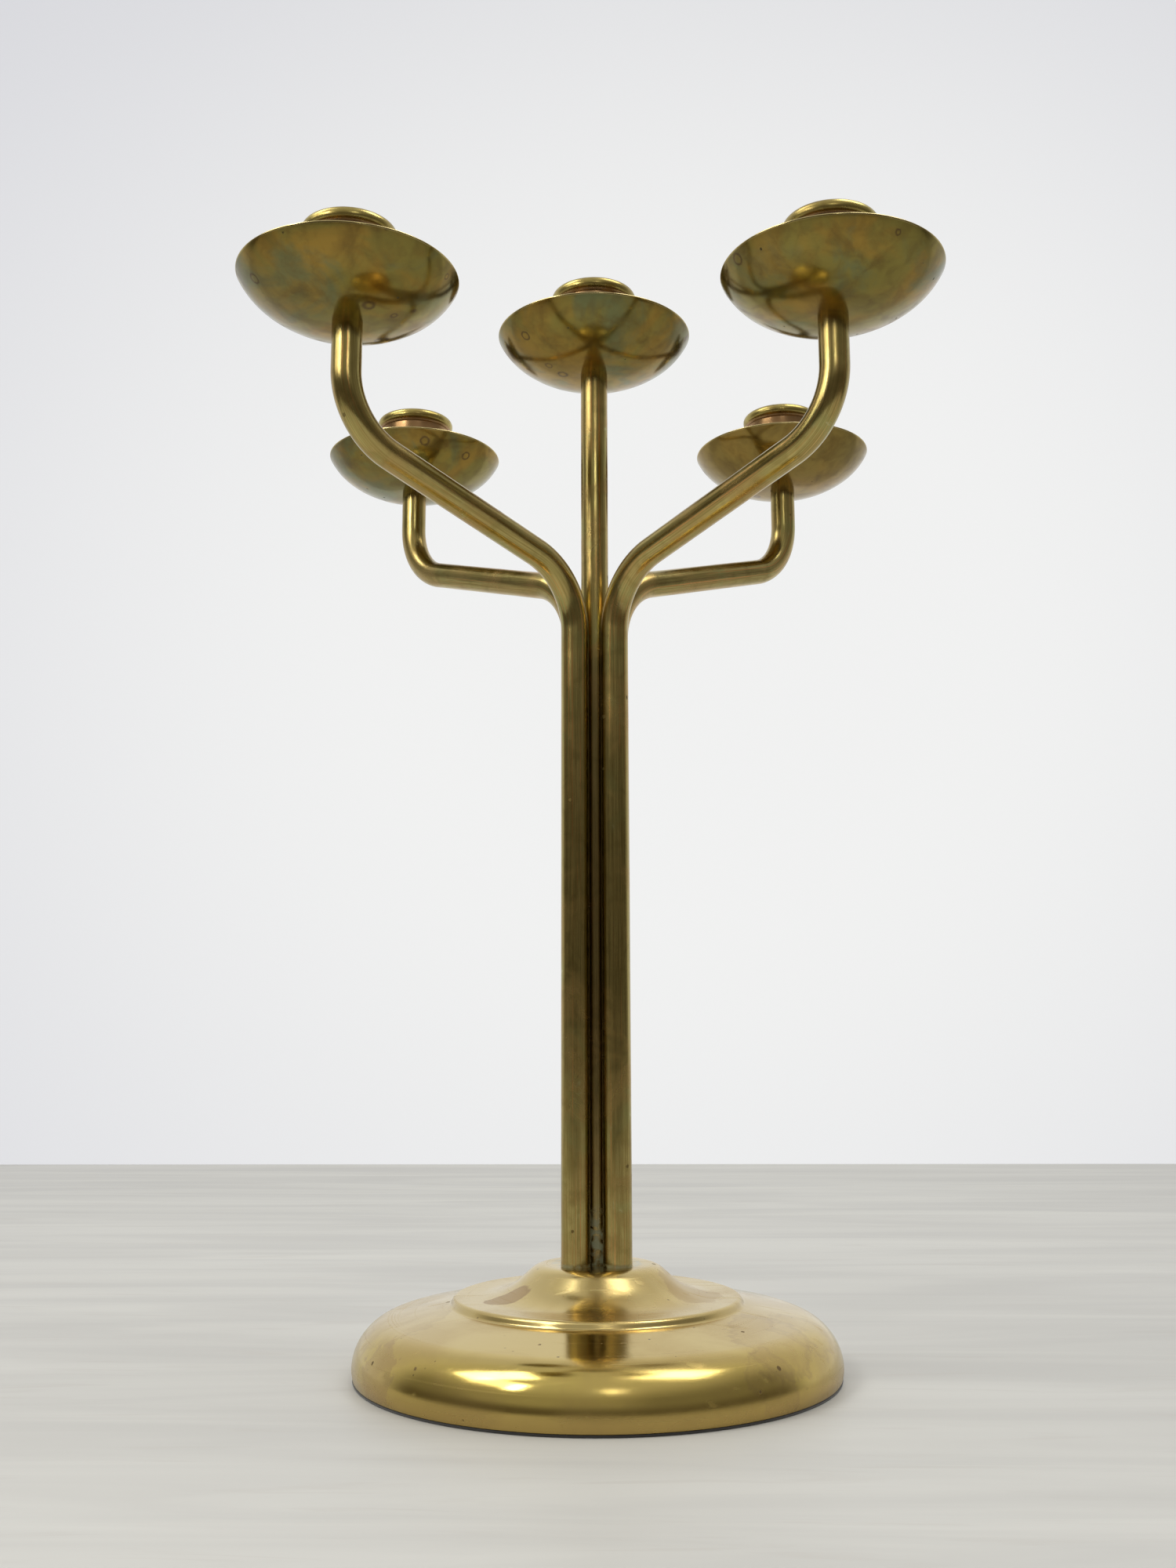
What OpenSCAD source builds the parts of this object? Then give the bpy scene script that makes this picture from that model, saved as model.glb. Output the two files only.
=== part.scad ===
// Five-light tabletop candelabra: a bundle of five brass tubes on a spun, weighted base.
// Units are millimetres. Z = 0 is the table, +Z is up and -Y is the front.

/* [Overall] */
// Height of the rims of the four arm pans above the table
arm_rim_z = 454; // [400:0.5:560]
// Height of the centre pan's rim above the arm pans' rims
centre_lift = 21; // [0:0.5:60]
// Distance from the centre axis to the upright end of each arm
arm_reach = 141.5; // [110:0.5:175]
// Outside diameter of the base
base_d = 210; // [180:1:260]

/* [Tubes and arms] */
// Outside diameter of all five tubes
tube_d = 12.7; // [10:0.1:16]
// Wall thickness of the tubes
tube_wall = 1; // [0.8:0.1:1.5]
// Length of the straight upright below each arm pan
arm_upright = 19.4; // [15:0.2:40]
// Centreline radius of the bend that leaves the bundle
bend_low_r = 34; // [24:0.5:45]
// Centreline radius of the bend below the pan
bend_top_r = 32; // [24:0.5:40]
// Direction of the first arm from the front, turning to the right
arm_turn = 45; // [0:1:90]

/* [Drip pans] */
// Outside diameter of a pan's rim
pan_d = 92; // [76:0.5:112]
// Depth of a pan, from its rim to its underside
pan_depth = 20.6; // [16:0.1:26]
// Sheet thickness of the pans
pan_wall = 1.1; // [0.8:0.1:1.6]
// Radius of the flat seat in the middle of a pan
pan_seat_r = 7.5; // [7:0.1:9]
// Radius of the wide curve of a pan's floor
pan_floor_r = 49; // [42:0.5:56]

/* [Candle cups] */
// Diameter of a candle
candle_d = 22; // [20:0.1:24]
// Radial clearance round a candle
candle_fit = 0.2; // [0.1:0.05:0.4]
// Depth of the straight socket in a cup
socket_depth = 22; // [16:0.5:26]
// Outside diameter of a cup's lip
lip_d = 40.4; // [36:0.1:46]
// Radius of the rounded lip
lip_r = 3.1; // [2:0.1:4]
// Outside diameter of a cup's body
cup_d = 36.8; // [32:0.1:40]
// Height of a cup's lip above the rim of its pan
cup_above_rim = 22.2; // [12:0.1:30]

/* [Base] */
// Thickness of the spun base
shell_wall = 1.2; // [0.8:0.1:2]
// Height of the straight part of the skirt, felt included
skirt_h = 5; // [5:0.5:14]
// Radius of the rounded shoulder
shoulder_r = 20; // [14:0.5:24]
// Slope of the dome, in degrees
dome_slope = 11; // [9:0.5:15]
// Diameter of the raised step as a share of the base diameter
step_share = 0.598; // [0.58:0.002:0.66]
// Height of the raised step above the dome
step_h = 2.9; // [2.4:0.1:4]
// Height of the crown above the step
crown_rise = 13; // [11:0.1:16]
// Width of the crown's flat top outside the tubes
crown_margin = 3.3; // [1.2:0.1:5]
// Slope of the crown's side, in degrees
crown_slope = 41; // [35:1:44]
// Radius of the crown's rounded edge
crown_edge_r = 10; // [6:0.5:12]
// Radius of the hollow curve between crown and step
cove_r = 27; // [18:0.5:30]
// Thickness of the felt
felt_t = 1; // [0.8:0.1:2]
// Thickness of the steel cover
cover_t = 1.5; // [1:0.1:3]

/* [Fixings] */
// Diameter of the stud that holds the bundle down
stud_d = 6; // [5:0.5:8]
// Diameter of the cup screws
screw_d = 5; // [4:0.5:6]
// Diameter of the cover screws
cover_screw_d = 4; // [3:0.5:5]
// Gap between screwed or soldered-in pieces and their holes
thread_gap = 0.05; // [0.02:0.01:0.1]
// Gap between neighbouring tubes, filled by solder
solder_gap = 0.06; // [0.02:0.01:0.12]
// How far out of the groove the solder touches the tubes, as a share of the tube radius
solder_depth = 0.24; // [0.18:0.01:0.36]
// Radial clearance of a plain hole round a screw
hole_gap = 0.25; // [0.1:0.05:0.5]

/* [Hidden] */
$fn = 96;
eps = 0.5;

// Turn of each arm about the centre axis, from +X.
turn_front_right = -90 + arm_turn;
turn_back_right = turn_front_right + 90;
turn_back_left = turn_front_right + 180;
turn_front_left = turn_front_right + 270;
arm_turns = [turn_front_right, turn_back_right, turn_back_left, turn_front_left];

tube_r = tube_d / 2;
bore_r = tube_r - tube_wall;
bundle_r = tube_d + solder_gap;

// Base outline, from the skirt inwards.
base_r = base_d / 2;
shoulder_x = base_r - shoulder_r;
dome_x = shoulder_x + shoulder_r * sin(dome_slope);
dome_z = skirt_h + shoulder_r * cos(dome_slope);
step_r = base_r * step_share;
step_foot_z = dome_z + (dome_x - step_r) * tan(dome_slope);
step_z = step_foot_z + step_h;
crown_z = snap(step_z + crown_rise, 0.01);
crown_flat_r = bundle_r + tube_r + crown_margin;
crown_x1 = crown_flat_r + crown_edge_r * sin(crown_slope);
crown_z1 = crown_z - crown_edge_r * (1 - cos(crown_slope));
cove_z2 = step_z + cove_r * (1 - cos(crown_slope));
crown_x2 = crown_x1 + (crown_z1 - cove_z2) / tan(crown_slope);
cove_x = crown_x2 + cove_r * sin(crown_slope);

function snap(v, s) = round(v / s) * s;

// Arm path, in the plane of one arm. The sloping part climbs 7 for every 24 outwards, so the
// bends turn through an angle whose sine and cosine are 0.96 and 0.28.
bend_s = 0.96;
bend_c = 0.28;
arm_bend = atan2(bend_s, bend_c);
bend_low = snap(bend_low_r, 0.1);
bend_top = snap(bend_top_r, 0.1);
pan_base_z = snap(arm_rim_z - pan_depth, 0.01);
centre_pan_z = pan_base_z + centre_lift;
arm_straight = snap((arm_reach - bundle_r) / bend_s - 0.75 * (bend_low + bend_top), 0.025);
low_x = bundle_r + bend_low;
slope_x = bundle_r + bend_low * (1 - bend_c);
top_x = slope_x + arm_straight * bend_s - bend_top * bend_c;
reach = top_x + bend_top;
bend_end_z = pan_base_z - snap(arm_upright, 0.01);
slope_z = bend_end_z - bend_top * bend_s - arm_straight * bend_c;
bend_start_z = slope_z - bend_low * bend_s;

// Pan outline: a flat seat, a wide curve up to a slope of 3 in 4, then a tighter side curve.
pan_floor = snap(pan_floor_r, 0.1);
pan_x1 = pan_seat_r + pan_floor * 0.6;
pan_z1 = pan_floor * 0.2;
pan_dx = pan_d / 2 - pan_x1;
pan_dz = pan_depth - pan_z1;
pan_side = snap((pan_dx * pan_dx + pan_dz * pan_dz) / (2 * (0.8 * pan_dz - 0.6 * pan_dx)), 0.1);
pan_side_x = pan_x1 - pan_side * 0.6;
pan_side_z = pan_z1 + pan_side * 0.8;

// Cup, measured up from the floor of its pan.
cup_h = pan_depth - pan_wall + cup_above_rim;
socket_r = candle_d / 2 + candle_fit;
lip_x = lip_d / 2 - lip_r;
mouth_z = cup_h - lip_r;
socket_top_z = mouth_z - (lip_x - lip_r - socket_r);
socket_floor_z = socket_top_z - socket_depth;
head_r = screw_d * 0.9;
head_h = screw_d * 0.6;
washer_r = screw_d;
washer_t = 1;
well_r = washer_r + 0.5;
well_depth = head_h + washer_t + 0.5;
cup_floor_z = socket_floor_z - well_depth;
foot_r = 6.9;
foot_h = 2.5;
cup_curve_r = 9;

top_plug_h = 14;
foot_plug_h = 6;
centre_plug_h = 20;

// Underside.
cover_z = felt_t;
cover_top_z = cover_z + cover_t;
clamp_t = 3;
clamp_r = crown_flat_r - 2;
crown_under_z = crown_z - shell_wall;
ballast_r1 = base_r - 8;
ballast_r2 = shoulder_x - 5;
ballast_z1 = skirt_h + shoulder_r * 0.47;
ballast_z2 = dome_z - 2.6;
boss_r = clamp_r - 2;
nut_af = stud_d * 1.7;
nut_h = stud_d * 0.85;
stud_washer_r = stud_d * 1.5;
stud_washer_t = 1.6;
pocket_r = stud_washer_r + 3;
pocket_top_z = cover_top_z + nut_h + stud_washer_t + 4;
cover_screw_pcr = base_r * 0.6;
cover_head_h = cover_t - 0.1;
cover_head_r = cover_screw_d / 2 + cover_head_h;
cover_screw_len = 9;

// A wedge of the plane from angle a0 to a1 about the origin, under 180 degrees wide.
module wedge(a0, a1, size) {
  am = (a0 + a1) / 2;
  polygon([[0, 0], [size * cos(a0), size * sin(a0)], [1.5 * size * cos(am), 1.5 * size * sin(am)],
    [size * cos(a1), size * sin(a1)]]);
}

// Half section of the base, drawn in from its outside by inset.
module base_section(inset) {
  difference() {
    union() {
      square([base_r - inset, skirt_h]);
      translate([shoulder_x, skirt_h])
        circle(r = shoulder_r - inset);
      dome_section(inset);
      step_section(inset);
      crown_section(inset);
    }
    translate([-base_d, -1])
      square([base_d, base_d]);
    translate([-1, -shoulder_r])
      square([base_d, shoulder_r]);
  }
}

// The sloping dome between the shoulder and the step.
module dome_section(inset) {
  ix = inset * sin(dome_slope);
  iz = inset * cos(dome_slope);
  polygon([[0, 0], [shoulder_x, 0], [shoulder_x, skirt_h], [dome_x - ix, dome_z - iz],
    [step_r - ix - inset, step_foot_z - iz + inset * tan(dome_slope)],
    [0, step_foot_z - iz + inset * tan(dome_slope)]]);
}

// The raised step with its rounded edge.
module step_section(inset) {
  edge_r = 2.2;
  translate([0, step_foot_z - 4])
    square([step_r - edge_r, step_h + 4 - inset]);
  translate([0, step_foot_z - 4])
    square([step_r - inset, step_h + 4 - edge_r]);
  translate([step_r - edge_r, step_z - edge_r])
    circle(r = edge_r - inset * 0.9);
}

// The crown: flat top, rounded edge, straight flank and hollow cove.
module crown_section(inset) {
  flank_x = inset * sin(crown_slope);
  flank_z = inset * cos(crown_slope);
  translate([0, crown_z - crown_edge_r])
    square([crown_flat_r, crown_edge_r - inset]);
  translate([crown_flat_r, crown_z - crown_edge_r])
    intersection() {
      circle(r = crown_edge_r - inset);
      wedge(90 - crown_slope, 90, 20);
    }
  polygon([[0, step_z - 3], [cove_x, step_z - 3], [cove_x, step_z - inset],
    [crown_x2, step_z - inset], [crown_x2 - flank_x, cove_z2 - flank_z],
    [crown_x1 - flank_x, crown_z1 - flank_z], [crown_flat_r, crown_z - crown_edge_r],
    [0, crown_z - crown_edge_r]]);
  difference() {
    polygon([[crown_x2 - flank_x - 2, step_z - 3], [cove_x, step_z - 3], [cove_x, step_z - inset],
      [crown_x2 - flank_x, cove_z2 - flank_z], [crown_x2 - flank_x - 2, cove_z2 - flank_z]]);
    translate([cove_x, step_z + cove_r])
      circle(r = cove_r + inset);
  }
}

// A bent arm of radius r in the XZ plane, run past both ends by extra.
module arm_form(r, extra) {
  translate([bundle_r, 0, crown_z - extra])
    cylinder(r = r, h = bend_start_z - crown_z + extra);
  translate([low_x, 0, bend_start_z])
    rotate([90, 0, 0])
      rotate([0, 0, 180 - arm_bend])
        rotate_extrude(angle = arm_bend)
          translate([bend_low, 0])
            rotate([0, 0, 180])
              circle(r = r);
  translate([slope_x, 0, slope_z])
    rotate([0, arm_bend, 0])
      cylinder(r = r, h = arm_straight);
  translate([top_x, 0, bend_end_z])
    rotate([90, 0, 0])
      rotate([0, 0, -arm_bend])
        rotate_extrude(angle = arm_bend)
          translate([bend_top, 0])
            circle(r = r);
  translate([reach, 0, bend_end_z])
    cylinder(r = r, h = pan_base_z - bend_end_z + extra);
}

module arm(turn) {
  color([0.56, 0.47, 0.24])
    rotate([0, 0, turn])
      difference() {
        arm_form(tube_r, 0);
        arm_form(bore_r, eps);
      }
}

// Half section of a pan, 0 at the underside of its seat.
module pan_section() {
  square([pan_seat_r, pan_wall]);
  intersection() {
    translate([pan_seat_r, pan_floor])
      difference() {
        circle(r = pan_floor);
        circle(r = pan_floor - pan_wall);
      }
    polygon([[pan_seat_r, pan_floor], [pan_seat_r, -9], [pan_x1 + 9, pan_z1 - 12],
      [pan_x1, pan_z1]]);
  }
  intersection() {
    translate([pan_side_x, pan_side_z])
      difference() {
        circle(r = pan_side);
        circle(r = pan_side - pan_wall);
      }
    polygon([[pan_side_x + 0.75 * (pan_side_z - pan_depth), pan_depth],
      [pan_x1 + 9, pan_z1 - 12], [pan_d, pan_z1 - 12], [pan_d, pan_depth]]);
  }
}

module pan(x, turn, z) {
  color([0.62, 0.52, 0.25])
    rotate([0, 0, turn])
      translate([x, 0, z])
        difference() {
          rotate_extrude()
            pan_section();
          translate([0, 0, -eps])
            cylinder(r = screw_d / 2 + hole_gap, h = pan_wall + 2 * eps);
        }
}

module cup_section() {
  difference() {
    union() {
      square([foot_r, foot_h + 1]);
      translate([0, foot_h + cup_curve_r])
        square([cup_d / 2, mouth_z - foot_h - cup_curve_r]);
      translate([0, foot_h])
        square([cup_d / 2 - cup_curve_r, cup_curve_r + 1]);
      translate([cup_d / 2 - cup_curve_r, foot_h + cup_curve_r])
        circle(r = cup_curve_r);
      translate([lip_x, mouth_z])
        circle(r = lip_r);
    }
    polygon([[-1, mouth_z], [lip_x - lip_r, mouth_z], [socket_r, socket_top_z], [-1, socket_top_z]]);
    translate([-1, socket_floor_z])
      square([socket_r + 1, socket_depth + eps]);
    translate([-1, mouth_z - 0.01])
      square([lip_x - lip_r + 1, lip_r * 2]);
    translate([-1, cup_floor_z])
      square([well_r + 1, well_depth + eps]);
    translate([-1, -1])
      square([screw_d / 2 + hole_gap + 1, cup_h]);
  }
}

module cup(x, turn, z) {
  color([0.8, 0.67, 0.33])
    rotate([0, 0, turn])
      translate([x, 0, z + pan_wall])
        rotate_extrude()
          cup_section();
}

module tube_plug(x, turn, z, h, hole_r) {
  color([0.66, 0.55, 0.28])
    rotate([0, 0, turn])
      translate([x, 0, z])
        difference() {
          cylinder(r = bore_r - thread_gap, h = h);
          translate([0, 0, -eps])
            cylinder(r = hole_r, h = h + 2 * eps);
        }
}

module plain_plug(turn) {
  color([0.66, 0.55, 0.28])
    rotate([0, 0, turn])
      translate([bundle_r, 0, crown_z])
        cylinder(r = bore_r - thread_gap, h = foot_plug_h);
}

module cup_screw(x, turn, z) {
  rotate([0, 0, turn])
    translate([x, 0, z + pan_wall + cup_floor_z + washer_t])
      difference() {
        union() {
          translate([0, 0, -cup_floor_z - washer_t - pan_wall - top_plug_h + 3])
            cylinder(r = screw_d / 2, h = cup_floor_z + washer_t + pan_wall + top_plug_h - 3 + eps);
          cylinder(r = head_r, h = head_h);
        }
        translate([-head_r - 1, -0.6, head_h - 1.2])
          cube([2 * head_r + 2, 1.2, 2]);
      }
}

module cup_washer(x, turn, z) {
  rotate([0, 0, turn])
    translate([x, 0, z + pan_wall + cup_floor_z])
      difference() {
        cylinder(r = washer_r, h = washer_t);
        translate([0, 0, -eps])
          cylinder(r = screw_d / 2 + hole_gap, h = washer_t + 2 * eps);
      }
}

module felt_pad() {
  color([0.06, 0.06, 0.06])
    cylinder(r = base_r - 0.5, h = felt_t);
}

module base_cover() {
  color([0.5, 0.5, 0.5])
    difference() {
      translate([0, 0, cover_z])
        cylinder(r = base_r - shell_wall - 0.2, h = cover_t);
      for (a = [0, 120, 240])
        rotate([0, 0, a])
          translate([cover_screw_pcr, 0, cover_z - 0.01])
            cylinder(r1 = cover_head_r + 0.1, r2 = cover_screw_d / 2 + 0.1, h = cover_head_h + 0.02);
      for (a = [0, 120, 240])
        rotate([0, 0, a])
          translate([cover_screw_pcr, 0, 0])
            cylinder(r = cover_screw_d / 2 + 0.1, h = cover_top_z + 1);
    }
}

module cover_screws() {
  color([0.7, 0.7, 0.72])
    for (a = [0, 120, 240])
      rotate([0, 0, a])
        translate([cover_screw_pcr, 0, cover_z])
          union() {
            cylinder(r1 = cover_head_r, r2 = cover_screw_d / 2, h = cover_head_h);
            cylinder(r = cover_screw_d / 2, h = cover_screw_len);
          }
}

module ballast() {
  color([0.2, 0.2, 0.2])
    difference() {
      union() {
        translate([0, 0, cover_top_z])
          cylinder(r = ballast_r1, h = ballast_z1 - cover_top_z);
        translate([0, 0, cover_top_z])
          cylinder(r = ballast_r2, h = ballast_z2 - cover_top_z);
        translate([0, 0, cover_top_z])
          cylinder(r = boss_r, h = crown_under_z - clamp_t - cover_top_z);
      }
      translate([0, 0, -eps])
        cylinder(r = stud_d / 2 + hole_gap, h = crown_z);
      translate([0, 0, -eps])
        cylinder(r = pocket_r, h = pocket_top_z + eps);
      for (a = [0, 120, 240])
        rotate([0, 0, a])
          translate([cover_screw_pcr, 0, 0])
            cylinder(r = cover_screw_d / 2 + thread_gap, h = cover_z + cover_screw_len + 1);
    }
}

module base_shell() {
  color([0.83, 0.71, 0.38])
    difference() {
      rotate_extrude()
        base_section(0);
      rotate_extrude()
        base_section(shell_wall);
      translate([0, 0, -1])
        cylinder(r = base_d, h = felt_t + 1);
      translate([0, 0, step_z])
        cylinder(r = stud_d / 2 + hole_gap, h = crown_rise + 1);
    }
}

module clamp_plate() {
  color([0.5, 0.5, 0.5])
    translate([0, 0, crown_under_z - clamp_t])
      difference() {
        cylinder(r = clamp_r, h = clamp_t);
        translate([0, 0, -eps])
          cylinder(r = stud_d / 2 + hole_gap, h = clamp_t + 2 * eps);
      }
}

module stem_stud() {
  color([0.7, 0.7, 0.72])
    translate([0, 0, cover_top_z + 1])
      cylinder(r = stud_d / 2, h = crown_z + centre_plug_h - 4 - cover_top_z - 1);
}

module stud_washer() {
  color([0.7, 0.7, 0.72])
    translate([0, 0, pocket_top_z - stud_washer_t])
      difference() {
        cylinder(r = stud_washer_r, h = stud_washer_t);
        translate([0, 0, -eps])
          cylinder(r = stud_d / 2 + hole_gap, h = stud_washer_t + 2 * eps);
      }
}

module stud_nut() {
  color([0.7, 0.7, 0.72])
    translate([0, 0, pocket_top_z - stud_washer_t - nut_h])
      difference() {
        cylinder(r = nut_af / sqrt(3), h = nut_h, $fn = 6);
        translate([0, 0, -eps])
          cylinder(r = stud_d / 2 + thread_gap, h = nut_h + 2 * eps);
      }
}

module centre_foot_plug() {
  tube_plug(0, 0, crown_z, centre_plug_h, stud_d / 2 + thread_gap);
}

module foot_plug_front_left() {
  plain_plug(turn_front_left);
}

module foot_plug_front_right() {
  plain_plug(turn_front_right);
}

module foot_plug_back_left() {
  plain_plug(turn_back_left);
}

module foot_plug_back_right() {
  plain_plug(turn_back_right);
}

// A bead of solder in each groove between the centre tube and an arm tube. Its two sides are
// tangent to the tubes.
module stem_solder() {
  touch_a = asin(solder_depth);
  touch_x = bundle_r / 2 - tube_r * cos(touch_a);
  touch_y = tube_r * solder_depth;
  color([0.75, 0.73, 0.66])
    for (turn = arm_turns)
      for (side = [0, 1])
        rotate([0, 0, turn])
          mirror([0, side, 0])
            translate([bundle_r / 2, 0, crown_z])
              linear_extrude(height = bend_start_z - crown_z - 1)
                polygon([[0, touch_y - touch_x / tan(touch_a)],
                  [touch_x + 0.5 * tan(touch_a), touch_y + 0.5],
                  [-touch_x - 0.5 * tan(touch_a), touch_y + 0.5]]);
}

module centre_tube() {
  color([0.56, 0.47, 0.24])
    translate([0, 0, crown_z])
      difference() {
        cylinder(r = tube_r, h = centre_pan_z - crown_z);
        translate([0, 0, -eps])
          cylinder(r = bore_r, h = centre_pan_z - crown_z + 2 * eps);
      }
}

module arm_front_left() {
  arm(turn_front_left);
}

module arm_front_right() {
  arm(turn_front_right);
}

module arm_back_left() {
  arm(turn_back_left);
}

module arm_back_right() {
  arm(turn_back_right);
}

module top_plug_centre() {
  tube_plug(0, 0, centre_pan_z - top_plug_h, top_plug_h, screw_d / 2 + thread_gap);
}

module top_plug_front_left() {
  tube_plug(reach, turn_front_left, pan_base_z - top_plug_h, top_plug_h, screw_d / 2 + thread_gap);
}

module top_plug_front_right() {
  tube_plug(reach, turn_front_right, pan_base_z - top_plug_h, top_plug_h, screw_d / 2 + thread_gap);
}

module top_plug_back_left() {
  tube_plug(reach, turn_back_left, pan_base_z - top_plug_h, top_plug_h, screw_d / 2 + thread_gap);
}

module top_plug_back_right() {
  tube_plug(reach, turn_back_right, pan_base_z - top_plug_h, top_plug_h, screw_d / 2 + thread_gap);
}

module pan_centre() {
  pan(0, 0, centre_pan_z);
}

module pan_front_left() {
  pan(reach, turn_front_left, pan_base_z);
}

module pan_front_right() {
  pan(reach, turn_front_right, pan_base_z);
}

module pan_back_left() {
  pan(reach, turn_back_left, pan_base_z);
}

module pan_back_right() {
  pan(reach, turn_back_right, pan_base_z);
}

module cup_centre() {
  cup(0, 0, centre_pan_z);
}

module cup_front_left() {
  cup(reach, turn_front_left, pan_base_z);
}

module cup_front_right() {
  cup(reach, turn_front_right, pan_base_z);
}

module cup_back_left() {
  cup(reach, turn_back_left, pan_base_z);
}

module cup_back_right() {
  cup(reach, turn_back_right, pan_base_z);
}

module cup_washers() {
  color([0.78, 0.68, 0.38]) {
    cup_washer(0, 0, centre_pan_z);
    for (turn = arm_turns)
      cup_washer(reach, turn, pan_base_z);
  }
}

module cup_screws() {
  color([0.7, 0.7, 0.72]) {
    cup_screw(0, 0, centre_pan_z);
    for (turn = arm_turns)
      cup_screw(reach, turn, pan_base_z);
  }
}

felt_pad();
base_cover();
cover_screws();
ballast();
base_shell();
clamp_plate();
stem_stud();
stud_washer();
stud_nut();
centre_foot_plug();
foot_plug_front_left();
foot_plug_front_right();
foot_plug_back_left();
foot_plug_back_right();
stem_solder();
centre_tube();
arm_front_left();
arm_front_right();
arm_back_left();
arm_back_right();
top_plug_centre();
top_plug_front_left();
top_plug_front_right();
top_plug_back_left();
top_plug_back_right();
pan_centre();
pan_front_left();
pan_front_right();
pan_back_left();
pan_back_right();
cup_centre();
cup_front_left();
cup_front_right();
cup_back_left();
cup_back_right();
cup_washers();
cup_screws();
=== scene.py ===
from math import acos, asin, atan2, cos, degrees, pi, radians, sin, sqrt, tan

import bpy
import numpy as np
from mathutils import Matrix, Vector


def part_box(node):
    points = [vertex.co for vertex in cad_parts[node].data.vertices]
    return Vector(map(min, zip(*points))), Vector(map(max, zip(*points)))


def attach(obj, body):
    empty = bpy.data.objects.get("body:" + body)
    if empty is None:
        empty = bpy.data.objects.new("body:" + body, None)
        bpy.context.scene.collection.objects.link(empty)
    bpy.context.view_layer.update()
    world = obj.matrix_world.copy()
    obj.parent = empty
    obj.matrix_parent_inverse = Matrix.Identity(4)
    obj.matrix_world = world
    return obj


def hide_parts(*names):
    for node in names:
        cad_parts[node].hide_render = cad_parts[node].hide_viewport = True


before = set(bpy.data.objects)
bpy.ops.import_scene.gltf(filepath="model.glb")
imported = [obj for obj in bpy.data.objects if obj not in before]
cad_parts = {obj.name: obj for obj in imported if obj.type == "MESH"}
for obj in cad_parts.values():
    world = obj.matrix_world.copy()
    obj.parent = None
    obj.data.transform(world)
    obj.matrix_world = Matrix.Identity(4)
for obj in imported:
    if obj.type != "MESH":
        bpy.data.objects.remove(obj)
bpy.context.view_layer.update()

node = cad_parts


# ---------------------------------------------------------------------------------------------
# The base shell. The real one is a disc of 1.2 mm brass spun over a former, with a short skirt, a
# round shoulder, a flat dome, a raised step and a crown that the five tubes stand on. It is the
# best polished piece, with old stains and fine lines left by the polishing wheel.
# ---------------------------------------------------------------------------------------------
def arc(cx, cz, r, start, end, steps):
    """Points on a round part of a half section, from one angle to another in degrees."""
    turns = [radians(start + (end - start) * i / steps) for i in range(steps + 1)]
    return [(cx + r * cos(a), cz + r * sin(a)) for a in turns]


def straight(p, q, steps):
    """Points between two corners of a half section, both ends left out."""
    return [(p[0] + (q[0] - p[0]) * i / steps, p[1] + (q[1] - p[1]) * i / steps)
            for i in range(1, steps)]


def spin_sheet(name, outline, centre, steps):
    """Draws a half section point by point and spins it round a vertical axis."""
    bpy.ops.object.select_all(action="DESELECT")
    x, y, z = centre
    at = (x + outline[0][0], y, z + outline[0][1])
    bpy.ops.mesh.primitive_plane_add(size=0.001, location=at)
    piece = bpy.context.object
    piece.name = piece.data.name = name
    bpy.ops.object.mode_set(mode="EDIT")
    bpy.ops.mesh.merge(type="CENTER")
    for (r0, z0), (r1, z1) in zip(outline, outline[1:]):
        bpy.ops.mesh.extrude_vertices_move(
            TRANSFORM_OT_translate={"value": (r1 - r0, 0, z1 - z0)})
    bpy.ops.mesh.select_all(action="SELECT")
    bpy.ops.mesh.spin(steps=steps, angle=2 * pi, center=(x, y, 0), axis=(0, 0, 1))
    bpy.ops.mesh.select_all(action="SELECT")
    bpy.ops.mesh.remove_doubles(threshold=0.000004)
    bpy.ops.mesh.normals_make_consistent(inside=False)
    bpy.ops.object.mode_set(mode="OBJECT")
    bpy.ops.object.transform_apply(location=True, rotation=True, scale=True)
    return piece


def take(piece):
    """Selects one piece and makes it the active one."""
    bpy.ops.object.select_all(action="DESELECT")
    piece.select_set(True)
    bpy.context.view_layer.objects.active = piece


def give_wall(piece, thickness, round_edge):
    """Thickens a sheet towards its inside and rounds its cut edges."""
    take(piece)
    wall = piece.modifiers.new("wall", "SOLIDIFY")
    wall.thickness = thickness
    wall.offset = -1
    bpy.ops.object.modifier_apply(modifier="wall")
    if round_edge:
        edge = piece.modifiers.new("edge", "BEVEL")
        edge.width = round_edge
        edge.segments = 3
        edge.limit_method = "ANGLE"
        edge.angle_limit = radians(50)
        edge.use_clamp_overlap = True
        bpy.ops.object.modifier_apply(modifier="edge")


def smooth(piece, angle=40):
    """Smooths the shading wherever faces meet at less than an angle in degrees."""
    take(piece)
    bpy.ops.object.shade_smooth_by_angle(angle=radians(angle))


def store(piece, name, data):
    """Keeps three numbers for each point of a piece, for its material to read."""
    piece.data.attributes.new(name, "FLOAT_VECTOR", "POINT").data.foreach_set(
        "vector", data.astype(np.float32).ravel())


def mark_rounds(piece, centre, section):
    """Stores on each point where it lies round the axis and how far along the section."""
    co = np.array([v.co for v in piece.data.vertices]) - np.array([centre[0], centre[1], 0])
    r = np.hypot(co[:, 0], co[:, 1])
    line = np.array(section) + np.array([0, centre[2]])
    along = np.concatenate([[0], np.cumsum(np.hypot(*np.diff(line, axis=0).T))])
    gap = np.hypot(r[:, None] - line[None, :, 0], co[:, 2][:, None] - line[None, :, 1])
    store(piece, "rounds", np.column_stack([co[:, 0] / r, co[:, 1] / r, along[gap.argmin(1)]]))


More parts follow.
